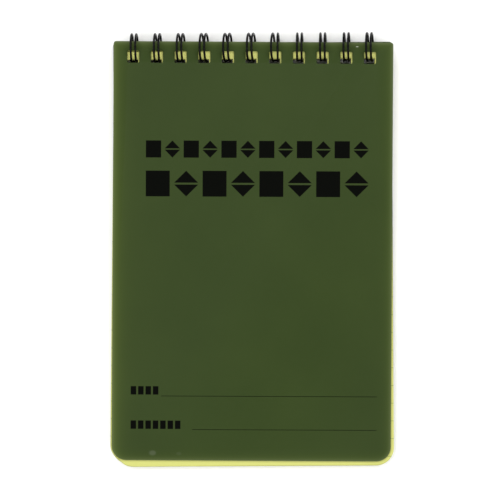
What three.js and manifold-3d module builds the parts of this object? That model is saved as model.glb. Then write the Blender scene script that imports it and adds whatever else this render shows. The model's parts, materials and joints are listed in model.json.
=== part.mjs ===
// A pocket notebook bound along its top edge with a black twin-loop wire.
//
// The notebook is built around the axis of its wire rings: X runs along the binding, Y points from the
// pages towards the binding, Z points out of the front cover. Every cover and sheet lies in a plane of its
// own beside that axis and turns about it, so each one is drawn flat in the ring's frame and then tilted.

import * as THREE from "three";
import { mergeVertices } from "three/addons/utils/BufferGeometryUtils.js";
import Module from "manifold-3d";

const wasm = await Module();
wasm.setup();

// Wire binding: a 3:1 pitch wire of 10.7 mm outside diameter.
const PITCH = 25.4 / 3; // between loops, and between the punched holes
const LOOPS = 11;
const WIRE_RADIUS = 0.4;
const RING_OUTER = 5.35;
const RING = RING_OUTER - WIRE_RADIUS; // radius of the wire's centreline
const HALF_SPACING = 0.82; // half the distance between the two strands of a loop
const SEAM_Z = -2.95; // height of the seam, where the wires run on from loop to loop
const TIP_GAP = 0.12; // between the tip of a loop and the seam it closes on
const BEND = 0.5; // radius of the bend from the seam into a strand
const STUB = 0.9; // what is left of the cut ends of the wire
const WIRE_SIDES = 6;
const STRAND_STEPS = 15;

// The loops don't stand square: each one leans to the right from its front to its back. These are the
// offsets along X of the middle of each loop at the front and at the back of the ring.
const LOOP_FRONT = [0.05, -0.15, -0.45, -0.75, -0.8, -0.82, -0.3, 0.1, -0.1, -0.2, -0.6];
const LOOP_BACK = [0.66, 0.66, 0.64, 0.6, 0.6, 0.62, 0.62, 0.62, 0.5, 0.55, 0.5];
// One loop is splayed: its strands stand further apart at the front.
const SPLAYED_LOOP = 6;
const SPLAY = 0.42;

// Covers: polypropylene sheet.
const COVER_WIDTH = 100;
const COVER_HEIGHT = 150;
const COVER_THICKNESS = 0.6;
const COVER_BOTTOM_RADIUS = 5.2;
const COVER_TOP_RADIUS = 0.9;
const HOLE_WIDTH = 4.3;
const HOLE_HEIGHT = 4.3;
const HOLE_RADIUS = 0.45;
const HOLE_MARGIN = 3.4; // from a cover's top edge to its holes
const ROW_OFFSET = -0.65; // of the row of holes from the middle of the covers and sheets

const FRONT_COVER_Z = 1.7; // of its inner face from the ring's axis
const FRONT_COVER_TOP = 1.95; // height of its top edge above the ring's axis, at the middle
const FRONT_COVER_X = 0.1;
const FRONT_COVER_TURN = -0.63; // degrees, in its own plane
const BACK_COVER_Z = -4.05;
const BACK_COVER_TOP = 1.92;
const BACK_COVER_X = -0.25;
const BACK_COVER_TURN = 0;

// Sheets: thin coated paper, all of one size, lying a little fanned on the wire.
const SHEETS = 40;
const SHEET_WIDTH = 99.2;
const SHEET_HEIGHT = 148.4;
const SHEET_THICKNESS = 0.07;
const SHEET_BOTTOM_RADIUS = 6;
const SHEET_HOLE = 4.2;
const SHEET_MARGIN = 2.6; // from a sheet's top edge to its holes
const SHEETS_X = -0.3;
const SHEETS_LOW = -1.6; // lowest face of the block of sheets from the ring's axis
const SHEETS_HIGH = 1.6;
const WIRE_CLEARANCE = 0.16; // from the inside of the rings to the upper edge of a sheet's holes
const STRAIGHT_TURN = 0.15; // degrees, of a sheet that hangs straight
const SLIPPED_TURN = -0.9; // degrees, of a sheet that has slipped round on the wire
const SLIPPED_UP = 0.3; // how far such a sheet has also slid up
const UPPER_SLIP = 0.2; // the most that a sheet of the upper half has slipped, where 1 is the whole way

// Lying on a table, the wire and the back cover's far edge rest on it, and the sheets close on that cover.
const LENGTH_TO_FAR_EDGE = COVER_HEIGHT - BACK_COVER_TOP;
const BACK_TILT = Math.asin((BACK_COVER_Z + RING_OUTER) / LENGTH_TO_FAR_EDGE);
const FAR_GAP = 0.12; // between the back cover and the last sheet at their far ends
const SHEETS_OVER_BACK = SHEETS_LOW - BACK_COVER_Z - COVER_THICKNESS;
const LEAF_TILT = BACK_TILT + Math.asin((SHEETS_OVER_BACK - FAR_GAP) / (SHEET_HEIGHT + 2));

const FOREST_GREEN = new THREE.MeshStandardMaterial({ color: 0x3d4b2b, roughness: 0.55, metalness: 0 });
const PAGE_YELLOW = new THREE.MeshStandardMaterial({ color: 0xdadf80, roughness: 0.85, metalness: 0 });
const WIRE_BLACK = new THREE.MeshStandardMaterial({ color: 0x131313, roughness: 0.35, metalness: 0.3 });

const radians = THREE.MathUtils.degToRad;

// A repeatable run of numbers between 0 and 1, for the fanning of the sheets.
function randomNumbers(seed) {
  let state = seed;
  return () => {
    state = (state * 16807) % 2147483647;
    return state / 2147483647;
  };
}

// The corners of a rectangle from (left, bottom) to (right, top), rounded with a radius and a number of
// steps for its lower and its upper corners; a corner of no radius is one point.
function roundedRectangle(left, bottom, right, top, lower, upper) {
  const corners = [
    [left, bottom, 1, 1, Math.PI, lower],
    [right, bottom, -1, 1, 1.5 * Math.PI, lower],
    [right, top, -1, -1, 0, upper],
    [left, top, 1, -1, 0.5 * Math.PI, upper],
  ];
  const points = [];
  for (const [x, y, inX, inY, from, { radius, steps }] of corners) {
    for (let i = 0; i <= steps; i++) {
      const angle = from + (steps ? (i / steps) * 0.5 * Math.PI : 0);
      const across = radius * (inX + Math.cos(angle));
      const along = radius * (inY + Math.sin(angle));
      points.push(new THREE.Vector2(x + across, y + along));
    }
  }
  return points;
}

// The closed geometry as a solid that can be cut.
function solidOf(geometry) {
  const bare = geometry.clone();
  bare.deleteAttribute("normal");
  bare.deleteAttribute("uv");
  const merged = mergeVertices(bare);
  const vertProperties = new Float32Array(merged.attributes.position.array);
  const triVerts = new Uint32Array(merged.index.array);
  return new wasm.Manifold(new wasm.Mesh({ numProp: 3, vertProperties, triVerts }));
}

function geometryOf(solid) {
  const { vertProperties, triVerts } = solid.getMesh();
  const geometry = new THREE.BufferGeometry();
  geometry.setAttribute("position", new THREE.BufferAttribute(vertProperties, 3));
  geometry.setIndex(new THREE.BufferAttribute(triVerts, 1));
  const faceted = geometry.toNonIndexed();
  faceted.computeVertexNormals();
  return faceted;
}

// A leaf punched with a row of holes, drawn with the middle of that row at x = 0 and its top edge at y = 0.
function leafGeometry(size) {
  const { width, height, thickness, lower, upper, holeMargin, holeWidth, holeHeight, holeCorner } = size;
  const middle = -ROW_OFFSET;
  const outline = roundedRectangle(middle - width / 2, -height, middle + width / 2, 0, lower, upper);
  const blank = new THREE.ExtrudeGeometry(new THREE.Shape(outline), {
    depth: thickness,
    bevelEnabled: false,
  });
  const hole = roundedRectangle(
    -holeWidth / 2,
    -holeMargin - holeHeight,
    holeWidth / 2,
    -holeMargin,
    holeCorner,
    holeCorner,
  );
  const punch = new THREE.ExtrudeGeometry(new THREE.Shape(hole), {
    depth: 3 * thickness,
    bevelEnabled: false,
  });
  let solid = solidOf(blank);
  for (let i = 0; i < LOOPS; i++) {
    const across = (i - (LOOPS - 1) / 2) * PITCH;
    solid = solid.subtract(solidOf(punch.clone().translate(across, 0, -thickness)));
  }
  return geometryOf(solid);
}

// A leaf on the wire: turned a little in its own plane, then tilted about the ring's axis.
function leaf(name, geometry, material, { x, top, z, turn, tilt }) {
  const mesh = new THREE.Mesh(geometry, material);
  mesh.name = name;
  mesh.position.set(x + Math.sin(turn) * -top, Math.cos(turn) * top, z);
  mesh.rotation.z = turn;
  const tilted = new THREE.Group();
  tilted.rotation.x = tilt;
  tilted.add(mesh);
  return tilted;
}

const coverGeometry = leafGeometry({
  width: COVER_WIDTH,
  height: COVER_HEIGHT,
  thickness: COVER_THICKNESS,
  lower: { radius: COVER_BOTTOM_RADIUS, steps: 14 },
  upper: { radius: COVER_TOP_RADIUS, steps: 5 },
  holeMargin: HOLE_MARGIN,
  holeWidth: HOLE_WIDTH,
  holeHeight: HOLE_HEIGHT,
  holeCorner: { radius: HOLE_RADIUS, steps: 4 },
});

const sheetGeometry = leafGeometry({
  width: SHEET_WIDTH,
  height: SHEET_HEIGHT,
  thickness: SHEET_THICKNESS,
  lower: { radius: SHEET_BOTTOM_RADIUS, steps: 12 },
  upper: { radius: 0, steps: 0 },
  holeMargin: SHEET_MARGIN,
  holeWidth: SHEET_HOLE,
  holeHeight: SHEET_HOLE,
  holeCorner: { radius: 0, steps: 0 },
});

function frontCover() {
  return leaf("front_cover", coverGeometry, FOREST_GREEN, {
    x: FRONT_COVER_X,
    top: FRONT_COVER_TOP,
    z: FRONT_COVER_Z,
    turn: radians(FRONT_COVER_TURN),
    tilt: LEAF_TILT,
  });
}

function backCover() {
  return leaf("back_cover", coverGeometry, FOREST_GREEN, {
    x: BACK_COVER_X,
    top: BACK_COVER_TOP,
    z: BACK_COVER_Z,
    turn: radians(BACK_COVER_TURN),
    tilt: BACK_TILT,
  });
}

// A straight sheet hangs from the inside of the rings by the upper edge of its holes, so where it hangs
// depends on its height in the ring and on how far it is turned. The sheets of the lower half have slipped
// round and up by anything from nothing to the whole way, and those of the upper half only a little.
function sheet(number, random) {
  const share = (SHEETS - number) / (SHEETS - 1);
  const z = SHEETS_LOW + share * (SHEETS_HIGH - SHEET_THICKNESS - SHEETS_LOW);
  const slip = random() * (number <= SHEETS / 2 ? UPPER_SLIP : 1);
  const turn = radians(THREE.MathUtils.lerp(STRAIGHT_TURN, SLIPPED_TURN, slip));
  const furthest = Math.max(Math.abs(z), Math.abs(z + SHEET_THICKNESS));
  const inside = RING - WIRE_RADIUS - WIRE_CLEARANCE;
  const endHole = ((LOOPS - 1) / 2) * PITCH + SHEET_HOLE / 2;
  const holeEdge = Math.abs(Math.sin(turn)) * endHole - Math.sqrt(inside ** 2 - furthest ** 2);
  const name = "sheet_" + String(number).padStart(2, "0");
  const top = holeEdge + SHEET_MARGIN + slip * SLIPPED_UP;
  return leaf(name, sheetGeometry, PAGE_YELLOW, { x: SHEETS_X, top, z, turn, tilt: LEAF_TILT });
}

// The wire's centreline, first drawn on the ring's cylinder rolled out flat: x along the binding, s
// round the ring from the side of the pages, down under the back cover, round the spine and over the
// front. Each loop leaves the seam, runs round the ring, turns back at its tip and returns.
function rolledOutWire() {
  const seam = RING * Math.asin(-SEAM_Z / RING);
  const tip = 2 * Math.PI * RING + seam - 2 * WIRE_RADIUS - TIP_GAP;
  const points = [];
  const add = (loop, x, s) => points.push({ loop, x, s });
  const arc = (loop, x, s, radius, from, to, steps) => {
    for (let i = 0; i <= steps; i++) {
      const angle = from + ((to - from) * i) / steps;
      add(loop, x + radius * Math.cos(angle), s + radius * Math.sin(angle));
    }
  };
  const start = seam + BEND;
  const turn = tip - HALF_SPACING;
  for (let loop = 0; loop < LOOPS; loop++) {
    if (loop === 0) add(loop, -HALF_SPACING - BEND - STUB, seam);
    arc(loop, -HALF_SPACING - BEND, start, BEND, -0.5 * Math.PI, 0, 2);
    for (let i = 1; i < STRAND_STEPS; i++) {
      add(loop, -HALF_SPACING, start + ((turn - start) * i) / STRAND_STEPS);
    }
    arc(loop, 0, turn, HALF_SPACING, Math.PI, 0, 4);
    for (let i = STRAND_STEPS - 1; i > 0; i--) {
      add(loop, HALF_SPACING, start + ((turn - start) * i) / STRAND_STEPS);
    }
    arc(loop, HALF_SPACING + BEND, start, BEND, Math.PI, 1.5 * Math.PI, 2);
    if (loop === LOOPS - 1) add(loop, HALF_SPACING + BEND + STUB, seam);
  }
  return points;
}

// The same centreline rolled up on the ring, with each loop's lean and the splay of one of them.
function wirePoints() {
  return rolledOutWire().map(({ loop, x, s }) => {
    const angle = s / RING;
    const y = -RING * Math.cos(angle);
    const z = -RING * Math.sin(angle);
    const front = (z / RING + 1) / 2;
    const lean = THREE.MathUtils.lerp(LOOP_BACK[loop], LOOP_FRONT[loop], front);
    const splay = loop === SPLAYED_LOOP ? Math.sign(x) * SPLAY * front ** 2 * Math.min(1, Math.abs(x)) : 0;
    return new THREE.Vector3((loop - (LOOPS - 1) / 2) * PITCH + x + lean + splay, y, z);
  });
}

// A curve through given points, sampled exactly at those points when it is divided into as many steps.
class PointCurve extends THREE.Curve {
  constructor(points) {
    super();
    this.points = points;
  }

  getPoint(t, target = new THREE.Vector3()) {
    const last = this.points.length - 1;
    const place = Math.min(Math.max(t, 0), 1) * last;
    const index = Math.min(Math.floor(place + 1e-6), last - 1);
    return target.lerpVectors(this.points[index], this.points[index + 1], place - index);
  }

  getPointAt(u, target) {
    return this.getPoint(u, target);
  }

  getTangentAt(u, target = new THREE.Vector3()) {
    const step = 1 / (this.points.length - 1);
    const before = this.getPoint(u - step);
    return target.copy(this.getPoint(u + step)).sub(before).normalize();
  }
}

function wireBinding() {
  const points = wirePoints();
  const section = new THREE.Shape(
    Array.from({ length: WIRE_SIDES }, (_, i) => {
      const angle = ((i + 0.5) / WIRE_SIDES) * 2 * Math.PI;
      return new THREE.Vector2(WIRE_RADIUS * Math.cos(angle), WIRE_RADIUS * Math.sin(angle));
    }),
  );
  const geometry = new THREE.ExtrudeGeometry(section, {
    steps: points.length - 1,
    extrudePath: new PointCurve(points),
    bevelEnabled: false,
  });
  const mesh = new THREE.Mesh(geometry, WIRE_BLACK);
  mesh.name = "wire_binding";
  return mesh;
}

function notebook() {
  const object = new THREE.Group();
  object.add(wireBinding(), frontCover(), backCover());
  const random = randomNumbers(11);
  for (let number = 1; number <= SHEETS; number++) object.add(sheet(number, random));
  return object;
}

// The origin is at the middle of the bottom of the object's box, on the table.
function standOnOrigin(object) {
  object.updateMatrixWorld(true);
  const box = new THREE.Box3().setFromObject(object, true);
  const middle = box.getCenter(new THREE.Vector3());
  object.position.set(-middle.x, -middle.y, -box.min.z);
  return object;
}

export default standOnOrigin(notebook());
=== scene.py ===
"""A wire-bound pocket notebook lying on a pale floor, seen from straight above.

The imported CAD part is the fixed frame. The covers are replaced by the same leaves with softened edges, the
binding wire by the same wire drawn smoothly, and the sheets keep their CAD meshes. The print on the front
cover is ink standing a hair above it: plain geometric marks and two ruled lines.
"""

import json
import math
import random

import bmesh
import bpy
from mathutils import Matrix, Vector


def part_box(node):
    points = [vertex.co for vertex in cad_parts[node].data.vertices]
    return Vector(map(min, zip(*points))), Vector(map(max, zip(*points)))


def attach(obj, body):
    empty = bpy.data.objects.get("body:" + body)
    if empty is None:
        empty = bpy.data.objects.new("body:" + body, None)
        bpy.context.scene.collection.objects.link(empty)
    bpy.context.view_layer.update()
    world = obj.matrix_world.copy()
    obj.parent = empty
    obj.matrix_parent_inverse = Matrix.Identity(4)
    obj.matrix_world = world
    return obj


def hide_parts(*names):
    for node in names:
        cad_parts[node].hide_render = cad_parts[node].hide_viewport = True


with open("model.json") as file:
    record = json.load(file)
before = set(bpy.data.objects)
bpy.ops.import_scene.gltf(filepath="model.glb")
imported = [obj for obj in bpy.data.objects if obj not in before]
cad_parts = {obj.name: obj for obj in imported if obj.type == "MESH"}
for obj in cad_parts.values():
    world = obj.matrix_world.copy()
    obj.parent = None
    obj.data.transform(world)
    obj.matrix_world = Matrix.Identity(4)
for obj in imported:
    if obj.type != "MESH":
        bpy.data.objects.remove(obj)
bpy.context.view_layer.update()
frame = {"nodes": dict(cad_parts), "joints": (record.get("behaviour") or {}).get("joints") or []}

MM = 0.001

# The binding, as in the CAD part.
PITCH = 25.4 / 3 * MM
LOOPS = 11
WIRE_RADIUS = 0.4 * MM
HALF_SPACING = 0.82 * MM
SEAM_DEPTH = 2.95 * MM
TIP_GAP = 0.12 * MM
BEND = 0.5 * MM
STUB = 0.9 * MM
LOOP_FRONT = [0.05, -0.15, -0.45, -0.75, -0.8, -0.82, -0.3, 0.1, -0.1, -0.2, -0.6]
LOOP_BACK = [0.66, 0.66, 0.64, 0.6, 0.6, 0.62, 0.62, 0.62, 0.5, 0.55, 0.5]
SPLAYED_LOOP = 6
SPLAY = 0.42 * MM
STRAND_STEPS = 72
BEND_STEPS = 6
TIP_STEPS = 14
WIRE_SIDES = 14

# Covers. Widths and heights as in the CAD part.
COVER_WIDTH = 100 * MM
COVER_HEIGHT = 150 * MM
COVER_BOTTOM_RADIUS = 5.2 * MM
COVER_TOP_RADIUS = 0.9 * MM
COVER_EDGE = 0.14 * MM  # radius of the softened edges
PAINTED_GLOW_REACH = 1.3 * MM  # how far in from its edges the plastic is painted paler, painted light coming through it
LEFT_PAINTED_GLOW_REACH = 3.0 * MM  # and in from its left edge, where the painted light is stronger
# how far in from its edges the painted highlight on the rim reaches
PAINTED_RIM_HIGHLIGHT_REACH = 0.45 * MM

# A leaf's top edge is looked for within this much of its highest corner.
TOP_BAND = 2.2 * MM

# Ink on the front cover. Places are from the cover's left edge and down from its top edge.
INK_HEIGHT = 0.02 * MM
INK_SUNK = 0.01 * MM
INK_LEFT = 11.8 * MM  # of the two rows of marks
INK_RIGHT = 91.5 * MM
ROWS = [
    {"top": 35.3 * MM, "height": 6.1 * MM, "count": 12, "gap": 1.3 * MM, "slit": 0.5 * MM},
    {"top": 46.1 * MM, "height": 9.2 * MM, "count": 8, "gap": 1.6 * MM, "slit": 0.7 * MM},
]
FIELD_LEFT = 6.7 * MM  # of the small marks in front of each ruled line
FIELD_MARK = 1.95 * MM
FIELD_GAP = 0.7 * MM
FIELD_HEIGHT = 3.0 * MM
LINE_WIDTH = 0.18 * MM
LINE_RIGHT = 94.8 * MM
FIELDS = [
    {"marks": 4, "marks_top": 123.3 * MM, "line_left": 17.6 * MM, "line_top": 126.7 * MM},
    {"marks": 7, "marks_top": 135.6 * MM, "line_left": 28.8 * MM, "line_top": 138.7 * MM},
]

# Wear on the front cover: a pale nick near its top edge and two faint smudges, with their half sizes.
WEAR = [
    {"place": (87.2 * MM, 1.5 * MM), "size": (0.62 * MM, 0.16 * MM), "strength": 0.6},
    {"place": (14.6 * MM, 147.2 * MM), "size": (1.6 * MM, 1.2 * MM), "strength": 0.05},
    {"place": (24.0 * MM, 147.4 * MM), "size": (1.1 * MM, 0.8 * MM), "strength": 0.02},
]

# Ruling on the sheets.
RULE_PITCH = 6.35 * MM
RULE_WIDTH = 0.22 * MM
LAST_RULE = 2.9 * MM  # above a sheet's lower edge
RULED_HEIGHT = 131 * MM  # above it the sheets are blank
SHADE_SEED = 5
MOST_SHADE = 0.35

# The view: straight down, with a long lens.
CAMERA_HEIGHT = 1.4
SENSOR = 36.0
VIEW_WIDTH = 178.95 * MM
VIEW_OFFSET = Vector((-0.8 * MM, 0.65 * MM))
CAMERA_ROLL = math.radians(-0.3)

# Light. The suns stand round the object at even steps, the first and strongest at the upper left.
DOME_STRENGTH = 0.3
SUN_STRENGTHS = [1.35, 0.92, 0.8, 0.87, 0.98]
FIRST_AZIMUTH = 215  # degrees
SUN_ELEVATION = 54
SUN_SOFTNESS = 40
FLOOR_RADIUS = 30


# ---------------------------------------------------------------- leaves


def leaf_axes(node):
    """The leaf's own axes as a matrix: X along its top edge, Z out of its front, the origin in the middle
    of its top edge, on its front face."""
    mesh = frame["nodes"][node].data
    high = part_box(node)[1].y
    best = None
    for edge in mesh.edges:
        a, b = (mesh.vertices[i].co for i in edge.vertices)
        if min(a.y, b.y) < high - TOP_BAND:
            continue
        key = (round((a - b).length, 5), a.z + b.z)
        if best is None or key > best[0]:
            best = (key, a.copy(), b.copy())
    _, a, b = best
    left, right = (a, b) if a.x < b.x else (b, a)
    across = (right - left).normalized()
    widest = max(mesh.polygons, key=lambda p: (round(p.area, 9), p.normal.z))
    out = widest.normal if widest.normal.z > 0 else -widest.normal
    out = (out - across * out.dot(across)).normalized()
    up = out.cross(across)
    matrix = Matrix((across, up, out)).transposed().to_4x4()
    matrix.translation = (left + right) / 2
    return matrix


def link(name, mesh):
    piece = bpy.data.objects.new(name, mesh)
    bpy.context.scene.collection.objects.link(piece)
    return piece


def softened_leaf(name, node, body):
    """The CAD leaf with its edges rounded off."""
    mesh = frame["nodes"][node].data.copy()
    mesh.name = name
    mesh.materials.clear()
    bm = bmesh.new()
    bm.from_mesh(mesh)
    bmesh.ops.remove_doubles(bm, verts=bm.verts, dist=1e-6)
    bmesh.ops.dissolve_limit(bm, angle_limit=math.radians(1), verts=bm.verts, edges=bm.edges)
    sharp = [e for e in bm.edges if e.calc_face_angle(0) > math.radians(60)]
    bmesh.ops.bevel(
        bm,
        geom=sharp,
        offset=COVER_EDGE,
        offset_type="OFFSET",
        segments=2,
        profile=0.5,
        affect="EDGES",
        clamp_overlap=True,
    )
    bmesh.ops.triangulate(bm, faces=[f for f in bm.faces if len(f.verts) > 4])
    bm.to_mesh(mesh)
    bm.free()
    mesh.shade_smooth()
    mesh.set_sharp_from_angle(angle=math.radians(30))
    piece = link(name, mesh)
    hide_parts(node)
    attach(piece, body)
    return piece


# ---------------------------------------------------------------- wire


def ring_centre():
    return Vector(next(j for j in frame["joints"] if j["child"] == "back_cover")["pos_m"])


def rolled_out_wire(radius):
    """The wire's centreline on the ring's cylinder rolled out flat, as (loop, x, s)."""
    seam = radius * math.asin(SEAM_DEPTH / radius)
    tip = 2 * math.pi * radius + seam - 2 * WIRE_RADIUS - TIP_GAP
    start = seam + BEND
    turn = tip - HALF_SPACING
    points = []

    def arc(loop, x, s, size, first, last, steps):
        for i in range(steps + 1):
            angle = first + (last - first) * i / steps
            points.append((loop, x + size * math.cos(angle), s + size * math.sin(angle)))

    for loop in range(LOOPS):
        if loop == 0:
            points.append((loop, -HALF_SPACING - BEND - STUB, seam))
        arc(loop, -HALF_SPACING - BEND, start, BEND, -0.5 * math.pi, 0, BEND_STEPS)
        for i in range(1, STRAND_STEPS):
            points.append((loop, -HALF_SPACING, start + (turn - start) * i / STRAND_STEPS))
        arc(loop, 0, turn, HALF_SPACING, math.pi, 0, TIP_STEPS)
        for i in range(STRAND_STEPS - 1, 0, -1):
            points.append((loop, HALF_SPACING, start + (turn - start) * i / STRAND_STEPS))
        arc(loop, HALF_SPACING + BEND, start, BEND, math.pi, 1.5 * math.pi, BEND_STEPS)
        if loop == LOOPS - 1:
            points.append((loop, HALF_SPACING + BEND + STUB, seam))
    return points


def wire_points():
    low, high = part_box("wire_binding")
    centre = ring_centre()
    radius = (high.y - low.y) / 2 - WIRE_RADIUS
    points = []
    for loop, x, s in rolled_out_wire(radius):
        angle = s / radius
        y = -radius * math.cos(angle)
        z = -radius * math.sin(angle)
        front = (z / radius + 1) / 2
        lean = (LOOP_BACK[loop] * (1 - front) + LOOP_FRONT[loop] * front) * MM
        splay = 0
        if loop == SPLAYED_LOOP:
            splay = math.copysign(SPLAY, x) * front**2 * min(1, abs(x) / MM)
        across = (loop - (LOOPS - 1) / 2) * PITCH + x + lean + splay
        points.append(Vector((across, y, z)))
    middle = (min(p.x for p in points) + max(p.x for p in points)) / 2
    shift = Vector(((low.x + high.x) / 2 - middle, centre.y, centre.z))
    return [p + shift for p in points]


def sweep(points, radius, sides):
    """A closed round tube along the points, its section carried along without twisting."""
    verts, faces = [], []
    tangents = []
    last = len(points) - 1
    for i in range(len(points)):
        tangents.append((points[min(i + 1, last)] - points[max(i - 1, 0)]).normalized())
    normal = tangents[0].orthogonal().normalized()
    for i, (point, tangent) in enumerate(zip(points, tangents)):
        if i:
            normal = tangents[i - 1].rotation_difference(tangent) @ normal
            normal = (normal - tangent * normal.dot(tangent)).normalized()
        side = tangent.cross(normal)
        for k in range(sides):
            angle = 2 * math.pi * k / sides
            verts.append(point + (normal * math.cos(angle) + side * math.sin(angle)) * radius)
    for i in range(last):
        for k in range(sides):
            a = i * sides + k
            b = i * sides + (k + 1) % sides
            faces.append((a, b, b + sides, a + sides))
    faces.append(tuple(reversed(range(sides))))
    faces.append(tuple(range(last * sides, (last + 1) * sides)))
    return verts, faces


def make_wire():
    verts, faces = sweep(wire_points(), WIRE_RADIUS, WIRE_SIDES)
    mesh = bpy.data.meshes.new("twin_loop_wire")
    mesh.from_pydata(verts, [], faces)
    mesh.shade_smooth()
    mesh.set_sharp_from_angle(angle=math.radians(50))
    piece = link("twin_loop_wire", mesh)
    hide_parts("wire_binding")
    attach(piece, "wire_binding")
    return piece


# ---------------------------------------------------------------- print


def prism(bm, outline, axes):
    """A thin raised plate of ink with the given outline, in the leaf's own axes."""
    low = [bm.verts.new(axes @ Vector((x, y, -INK_SUNK))) for x, y in outline]
    high = [bm.verts.new(axes @ Vector((x, y, INK_HEIGHT))) for x, y in outline]
    bm.faces.new(high)
    bm.faces.new(list(reversed(low)))
    count = len(outline)
    for i in range(count):
        j = (i + 1) % count
        bm.faces.new((low[i], low[j], high[j], high[i]))


def bar(left, top, right, bottom):
    """A rectangle's outline, in a cover's own axes."""
    x = (left - COVER_WIDTH / 2, right - COVER_WIDTH / 2)
    return [(x[0], -bottom), (x[1], -bottom), (x[1], -top), (x[0], -top)]


def triangle(left, right, base, tip):
    """A triangle on a level base, pointing towards the given tip."""
    x = (left - COVER_WIDTH / 2, right - COVER_WIDTH / 2)
    corners = [(x[0], -base), (x[1], -base), (sum(x) / 2, -tip)]
    return corners if tip < base else corners[::-1]


def row_of_marks(top, height, count, gap, slit):
    """Blocks and diamonds in turn, filling the width of the print. The diamonds are cut in two by a
    level bridge, as a stencil leaves them."""
    pitch = (INK_RIGHT - INK_LEFT + gap) / count
    middle = top + height / 2
    outlines = []
    for i in range(count):
        left = INK_LEFT + i * pitch
        right = left + pitch - gap
        if i % 2:
            outlines.append(triangle(left, right, middle - slit / 2, top))
            outlines.append(triangle(left, right, middle + slit / 2, top + height))
        else:
            outlines.append(bar(left, top, right, top + height))
    return outlines


def field(marks, marks_top, line_left, line_top):
    """A run of small marks and the ruled line to write on after it."""
    outlines = []
    for i in range(marks):
        left = FIELD_LEFT + i * (FIELD_MARK + FIELD_GAP)
        outlines.append(bar(left, marks_top, left + FIELD_MARK, marks_top + FIELD_HEIGHT))
    outlines.append(bar(line_left, line_top, LINE_RIGHT, line_top + LINE_WIDTH))
    return outlines


def make_print():
    axes = leaf_axes("front_cover")
    outlines = []
    for row in ROWS:
        outlines += row_of_marks(**row)
    for line in FIELDS:
        outlines += field(**line)
    bm = bmesh.new()
    for outline in outlines:
        prism(bm, outline, axes)
    bmesh.ops.recalc_face_normals(bm, faces=bm.faces)
    mesh = bpy.data.meshes.new("cover_print")
    bm.to_mesh(mesh)
    bm.free()
    piece = link("cover_print", mesh)
    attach(piece, "front_cover")
    return piece


# ---------------------------------------------------------------- materials


class Nodes:
    """A material's node tree, with short calls for the nodes that these materials are made of."""

    def __init__(self, name):
        self.material = bpy.data.materials.new(name)
        self.material.use_nodes = True
        self.tree = self.material.node_tree
        self.shader = self.tree.nodes["Principled BSDF"]

    def new(self, kind, **settings):
        node = self.tree.nodes.new(kind)
        for key, value in settings.items():
            setattr(node, key, value)
        return node

    def put(self, value, socket):
        if isinstance(value, bpy.types.NodeSocket):
            self.tree.links.new(value, socket)
        else:
            socket.default_value = value

    def math(self, operation, a, b=0.0, clamp=False):
        node = self.new("ShaderNodeMath", operation=operation, use_clamp=clamp)
        self.put(a, node.inputs[0])
        self.put(b, node.inputs[1])
        return node.outputs[0]

    def place(self, axes=None):
        """The point in object coordinates, or in the given axes."""
        point = self.new("ShaderNodeTexCoord").outputs["Object"]
        if axes is None:
            return point
        mapping = self.new("ShaderNodeMapping", vector_type="TEXTURE")
        mapping.inputs["Location"].default_value = axes.translation
        mapping.inputs["Rotation"].default_value = axes.to_euler()
        self.put(point, mapping.inputs["Vector"])
        return mapping.outputs[0]

    def split(self, vector):
        node = self.new("ShaderNodeSeparateXYZ")
        self.put(vector, node.inputs[0])
        return node.outputs

    def scaled(self, vector, factors):
        node = self.new("ShaderNodeVectorMath", operation="MULTIPLY")
        self.put(vector, node.inputs[0])
        node.inputs[1].default_value = factors
        return node.outputs[0]

    def noise(self, vector, size, detail=3.0, roughness=0.5):
        """Noise with features of about the given size in metres."""
        node = self.new("ShaderNodeTexNoise")
        self.put(vector, node.inputs["Vector"])
        node.inputs["Scale"].default_value = 1 / size
        node.inputs["Detail"].default_value = detail
        node.inputs["Roughness"].default_value = roughness
        return node.outputs["Fac"]

    def span(self, value, low, high, to_low=0.0, to_high=1.0, smooth=False):
        node = self.new("ShaderNodeMapRange")
        node.interpolation_type = "SMOOTHSTEP" if smooth else "LINEAR"
        self.put(value, node.inputs["Value"])
        self.put(low, node.inputs["From Min"])
        self.put(high, node.inputs["From Max"])
        self.put(to_low, node.inputs["To Min"])
        self.put(to_high, node.inputs["To Max"])
        return node.outputs[0]

    def mix(self, factor, a, b):
        node = self.new("ShaderNodeMix", data_type="RGBA")
        self.put(factor, node.inputs["Factor"])
        self.put(a, node.inputs["A"])
        self.put(b, node.inputs["B"])
        return node.outputs["Result"]

    def bump(self, height, distance, strength=1.0, under=None):
        node = self.new("ShaderNodeBump")
        node.inputs["Strength"].default_value = strength
        node.inputs["Distance"].default_value = distance
        self.put(height, node.inputs["Height"])
        if under is not None:
            self.put(under, node.inputs["Normal"])
        return node.outputs["Normal"]


def rgb(red, green, blue):
    """A colour from its display values of 0 to 255."""

    def linear(value):
        share = value / 255
        return share / 12.92 if share <= 0.04045 else ((share + 0.055) / 1.055) ** 2.4

    return (linear(red), linear(green), linear(blue), 1)


COVER_DEEP = rgb(40, 54, 17)
COVER_OLIVE = rgb(43, 57, 19)
COVER_SPECK = rgb(50, 62, 30)
# Painted light: a paler olive for light coming through the plastic near its edges, and a painted highlight
# for its rim.
COVER_PAINTED_GLOW = rgb(70, 84, 30)
COVER_PAINTED_RIM_HIGHLIGHT = rgb(96, 104, 78)
COVER_SCUFF = rgb(104, 112, 84)
COVER_NICK = rgb(196, 200, 184)
PAPER = rgb(185, 187, 101)
PAPER_PALE = rgb(196, 197, 122)
PAPER_CLOUD = rgb(179, 179, 92)
PAPER_DEEP = rgb(172, 174, 82)
RULE_GREEN = rgb(92, 114, 60)
WIRE_BLACK = rgb(5, 5, 6)
WIRE_RUBBED = rgb(19, 18, 19)
INK_BLACK = rgb(2, 3, 1)
INK_THIN = rgb(9, 11, 5)


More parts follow.
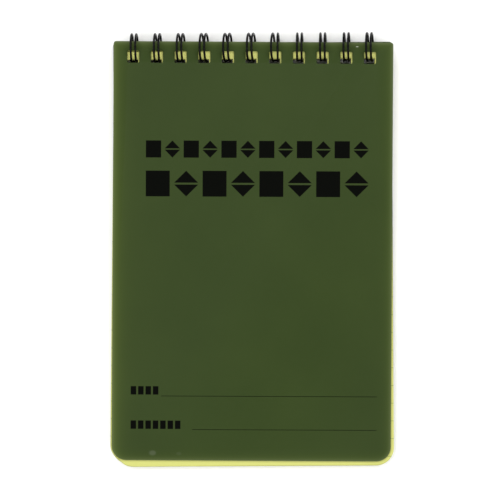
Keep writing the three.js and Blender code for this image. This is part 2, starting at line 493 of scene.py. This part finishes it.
def edge_distance(nodes, point):
    """How far a point of a cover is from its outline, for points in the cover's own axes."""
    x, y, _ = nodes.split(point)
    along = nodes.math("ADD", y, COVER_HEIGHT / 2)
    lower = nodes.math("LESS_THAN", along, 0.0)
    radius = nodes.math(
        "ADD",
        nodes.math("MULTIPLY", lower, COVER_BOTTOM_RADIUS - COVER_TOP_RADIUS),
        COVER_TOP_RADIUS,
    )
    over_x = nodes.math(
        "ADD", nodes.math("SUBTRACT", nodes.math("ABSOLUTE", x), COVER_WIDTH / 2), radius
    )
    over_y = nodes.math(
        "ADD", nodes.math("SUBTRACT", nodes.math("ABSOLUTE", along), COVER_HEIGHT / 2), radius
    )
    out_x = nodes.math("MAXIMUM", over_x, 0.0)
    out_y = nodes.math("MAXIMUM", over_y, 0.0)
    squares = nodes.math(
        "ADD", nodes.math("MULTIPLY", out_x, out_x), nodes.math("MULTIPLY", out_y, out_y)
    )
    outside = nodes.math("SQRT", squares)
    inside = nodes.math("MINIMUM", nodes.math("MAXIMUM", over_x, over_y), 0.0)
    signed = nodes.math("SUBTRACT", nodes.math("ADD", outside, inside), radius)
    return nodes.math("MAXIMUM", nodes.math("MULTIPLY", signed, -1.0), 0.0)


def fading(nodes, distance, reach):
    """1 at no distance, fading away over the given reach."""
    return nodes.math("POWER", math.e, nodes.math("MULTIPLY", distance, -1 / reach))


def spot(nodes, point, place, size, strength):
    """A soft oval mark: its strength at the middle, nothing outside its half sizes."""
    x, y, _ = nodes.split(point)
    across = nodes.math("DIVIDE", nodes.math("SUBTRACT", x, place[0] - COVER_WIDTH / 2), size[0])
    along = nodes.math("DIVIDE", nodes.math("ADD", y, place[1]), size[1])
    squares = nodes.math(
        "ADD", nodes.math("MULTIPLY", across, across), nodes.math("MULTIPLY", along, along)
    )
    return nodes.span(nodes.math("SQRT", squares), 0.45, 1.0, strength, 0.0, smooth=True)


def cover_material(name, axes, painted_light_share=1.0, marks=()):
    """Dark olive polypropylene, finely grained. It is painted paler towards its edges, where light gets
    through it, and more so along its left edge, and its rim gets a painted highlight: both are painted
    light, scaled by the share given for them.
    """
    nodes = Nodes(name)
    point = nodes.place(axes)
    x, y, _ = nodes.split(point)
    distance = edge_distance(nodes, point)
    from_left = nodes.math("MAXIMUM", nodes.math("ADD", x, COVER_WIDTH / 2), 0.0)
    cloud = nodes.noise(point, 34 * MM, detail=4.0)
    speckle = nodes.noise(point, 1.6 * MM, detail=5.0, roughness=0.7)
    colour = nodes.mix(nodes.span(cloud, 0.35, 0.68), COVER_DEEP, COVER_OLIVE)
    colour = nodes.mix(
        nodes.math("MULTIPLY", nodes.span(speckle, 0.5, 0.75), 0.12), colour, COVER_SPECK
    )
    # Painted light: paler towards every edge and more so at the left, scaled by the given share.
    painted_edge_glow = nodes.math(
        "ADD",
        nodes.math("MULTIPLY", fading(nodes, distance, PAINTED_GLOW_REACH), 0.6 * painted_light_share),
        nodes.math("MULTIPLY", fading(nodes, from_left, LEFT_PAINTED_GLOW_REACH), 0.45 * painted_light_share),
        clamp=True,
    )
    colour = nodes.mix(painted_edge_glow, colour, COVER_PAINTED_GLOW)
    # A painted highlight on the rim, scaled by the same share.
    painted_rim_highlight = nodes.math("MULTIPLY", fading(nodes, distance, PAINTED_RIM_HIGHLIGHT_REACH), 0.5 * painted_light_share)
    colour = nodes.mix(painted_rim_highlight, colour, COVER_PAINTED_RIM_HIGHLIGHT)
    scuff_place = nodes.scaled(point, (0.3, 3.0, 1.0))
    scuffs = nodes.span(nodes.noise(scuff_place, 9 * MM, detail=6.0, roughness=0.8), 0.66, 0.76)
    colour = nodes.mix(nodes.math("MULTIPLY", scuffs, 0.08), colour, COVER_SCUFF)
    for mark in marks:
        colour = nodes.mix(spot(nodes, point, **mark), colour, COVER_NICK)
    nodes.put(colour, nodes.shader.inputs["Base Color"])
    grain = nodes.noise(point, 0.22 * MM, detail=2.0)
    waves = nodes.noise(point, 21 * MM, detail=1.0)
    relief = nodes.bump(waves, 0.3 * MM, 0.3)
    relief = nodes.bump(grain, 0.02 * MM, 0.5, under=relief)
    nodes.put(relief, nodes.shader.inputs["Normal"])
    nodes.put(nodes.span(speckle, 0.3, 0.8, 0.4, 0.54), nodes.shader.inputs["Roughness"])
    nodes.shader.inputs["Specular IOR Level"].default_value = 0.1
    return nodes.material


def sheet_material():
    """Yellow-green coated paper with fine green rules. Each sheet's own place is on its object."""
    nodes = Nodes("ruled_paper")

    def own(name):
        return nodes.new("ShaderNodeAttribute", attribute_type="OBJECT", attribute_name=name).outputs["Fac"]

    point = nodes.place()
    x, y, _ = nodes.split(point)
    along = nodes.math(
        "SUBTRACT",
        nodes.math("SUBTRACT", y, own("lower_edge")),
        nodes.math("MULTIPLY", x, own("slope")),
    )
    steps = nodes.math("DIVIDE", nodes.math("SUBTRACT", along, LAST_RULE), RULE_PITCH)
    from_rule = nodes.math("ABSOLUTE", nodes.math("SUBTRACT", steps, nodes.math("ROUND", steps)))
    rule = nodes.span(from_rule, 0.35 * RULE_WIDTH / RULE_PITCH, 0.6 * RULE_WIDTH / RULE_PITCH, 1.0, 0.0)
    in_ruling = nodes.math("LESS_THAN", along, RULED_HEIGHT)
    fibre = nodes.noise(point, 0.9 * MM, detail=5.0, roughness=0.65)
    cloud = nodes.noise(point, 18 * MM, detail=2.0)
    colour = nodes.mix(fibre, PAPER, PAPER_PALE)
    colour = nodes.mix(nodes.math("MULTIPLY", cloud, 0.2), colour, PAPER_CLOUD)
    colour = nodes.mix(own("shade"), colour, PAPER_DEEP)
    ruled = nodes.math("MULTIPLY", nodes.math("MULTIPLY", rule, in_ruling), 0.75)
    colour = nodes.mix(ruled, colour, RULE_GREEN)
    nodes.put(colour, nodes.shader.inputs["Base Color"])
    nodes.put(nodes.bump(fibre, 0.02 * MM, 0.4), nodes.shader.inputs["Normal"])
    nodes.put(nodes.span(fibre, 0.3, 0.7, 0.62, 0.74), nodes.shader.inputs["Roughness"])
    nodes.shader.inputs["Specular IOR Level"].default_value = 0.25
    return nodes.material


def wire_material():
    """Black nylon-coated wire, glossy, with slight rubbing."""
    nodes = Nodes("black_coated_wire")
    point = nodes.place()
    rub = nodes.noise(point, 1.4 * MM, detail=5.0, roughness=0.7)
    colour = nodes.mix(nodes.span(rub, 0.52, 0.72), WIRE_BLACK, WIRE_RUBBED)
    nodes.put(colour, nodes.shader.inputs["Base Color"])
    nodes.put(nodes.span(rub, 0.35, 0.7, 0.2, 0.34), nodes.shader.inputs["Roughness"])
    nodes.put(nodes.bump(rub, 0.02 * MM, 0.3), nodes.shader.inputs["Normal"])
    nodes.shader.inputs["Specular IOR Level"].default_value = 0.09
    return nodes.material


def ink_material():
    """Screen-printed black ink, a little uneven where it lies thin."""
    nodes = Nodes("printed_ink")
    point = nodes.place()
    cover = nodes.noise(point, 0.5 * MM, detail=4.0, roughness=0.7)
    colour = nodes.mix(nodes.span(cover, 0.55, 0.8), INK_BLACK, INK_THIN)
    nodes.put(colour, nodes.shader.inputs["Base Color"])
    nodes.put(nodes.span(cover, 0.3, 0.7, 0.5, 0.66), nodes.shader.inputs["Roughness"])
    nodes.put(nodes.bump(cover, 0.01 * MM, 0.4), nodes.shader.inputs["Normal"])
    nodes.shader.inputs["Specular IOR Level"].default_value = 0.03
    return nodes.material


def floor_material():
    nodes = Nodes("pale_floor")
    fine = nodes.noise(nodes.place(), 60 * MM, detail=2.0)
    nodes.put(nodes.mix(fine, rgb(247, 247, 246), rgb(250, 250, 249)), nodes.shader.inputs["Base Color"])
    nodes.shader.inputs["Roughness"].default_value = 0.85
    nodes.shader.inputs["Specular IOR Level"].default_value = 0.1
    return nodes.material


def dress(piece, material):
    piece.data.materials.clear()
    piece.data.materials.append(material)


def dress_sheets():
    """All sheets share one material, and each tells it where its own lower edge and its ruling are."""
    shades = random.Random(SHADE_SEED)
    material = sheet_material()
    for node in sorted(n for n in frame["nodes"] if n.startswith("sheet_")):
        sheet = frame["nodes"][node]
        axes = leaf_axes(node)
        across = axes.to_3x3() @ Vector((1, 0, 0))
        low = min(sheet.data.vertices, key=lambda v: v.co.y - v.co.x * across.y / across.x).co
        slope = across.y / across.x
        sheet["slope"] = slope
        sheet["lower_edge"] = low.y - low.x * slope
        sheet["shade"] = shades.uniform(0.0, MOST_SHADE)
        dress(sheet, material)


# ---------------------------------------------------------------- stage


def make_floor():
    bm = bmesh.new()
    bmesh.ops.create_circle(bm, cap_ends=True, segments=96, radius=FLOOR_RADIUS)
    mesh = bpy.data.meshes.new("floor")
    bm.to_mesh(mesh)
    bm.free()
    floor = link("floor", mesh)
    dress(floor, floor_material())


def make_sun(name, azimuth, strength):
    light = bpy.data.lights.new(name, "SUN")
    light.energy = strength
    light.angle = math.radians(SUN_SOFTNESS)
    lamp = bpy.data.objects.new(name, light)
    lamp.rotation_euler = (math.radians(90 - SUN_ELEVATION), 0, math.radians(azimuth))
    bpy.context.scene.collection.objects.link(lamp)


def make_light():
    """A dim dome and a ring of wide soft lights."""
    world = bpy.data.worlds.new("studio")
    world.use_nodes = True
    background = world.node_tree.nodes["Background"]
    background.inputs["Color"].default_value = (1, 1, 1, 1)
    background.inputs["Strength"].default_value = DOME_STRENGTH
    bpy.context.scene.world = world
    for i, strength in enumerate(SUN_STRENGTHS):
        make_sun(f"soft_{i}", FIRST_AZIMUTH + i * 360 / len(SUN_STRENGTHS), strength)
    bpy.context.scene.view_settings.view_transform = "Standard"


def make_camera():
    axes = leaf_axes("front_cover")
    middle = axes @ Vector((0, -COVER_HEIGHT / 2, 0))
    data = bpy.data.cameras.new("camera")
    data.sensor_width = SENSOR
    data.lens = SENSOR * (CAMERA_HEIGHT - middle.z) / VIEW_WIDTH
    data.clip_end = 100
    camera = bpy.data.objects.new("camera", data)
    camera.location = (middle.x + VIEW_OFFSET.x, middle.y + VIEW_OFFSET.y, CAMERA_HEIGHT)
    camera.rotation_euler = (0, 0, CAMERA_ROLL)
    bpy.context.scene.collection.objects.link(camera)
    bpy.context.scene.camera = camera


make_camera()
front = softened_leaf("front_cover_sheet", "front_cover", "front_cover")
dress(front, cover_material("front_polypropylene", leaf_axes("front_cover"), 1.0, WEAR))
back = softened_leaf("back_cover_sheet", "back_cover", "back_cover")
# The back cover is the same plastic with no painted edge light, so it reads darker than the front, as
# painted shade.
dress(back, cover_material("back_polypropylene", leaf_axes("back_cover"), 0.0))
dress(make_wire(), wire_material())
dress(make_print(), ink_material())
dress_sheets()
make_floor()
make_light()
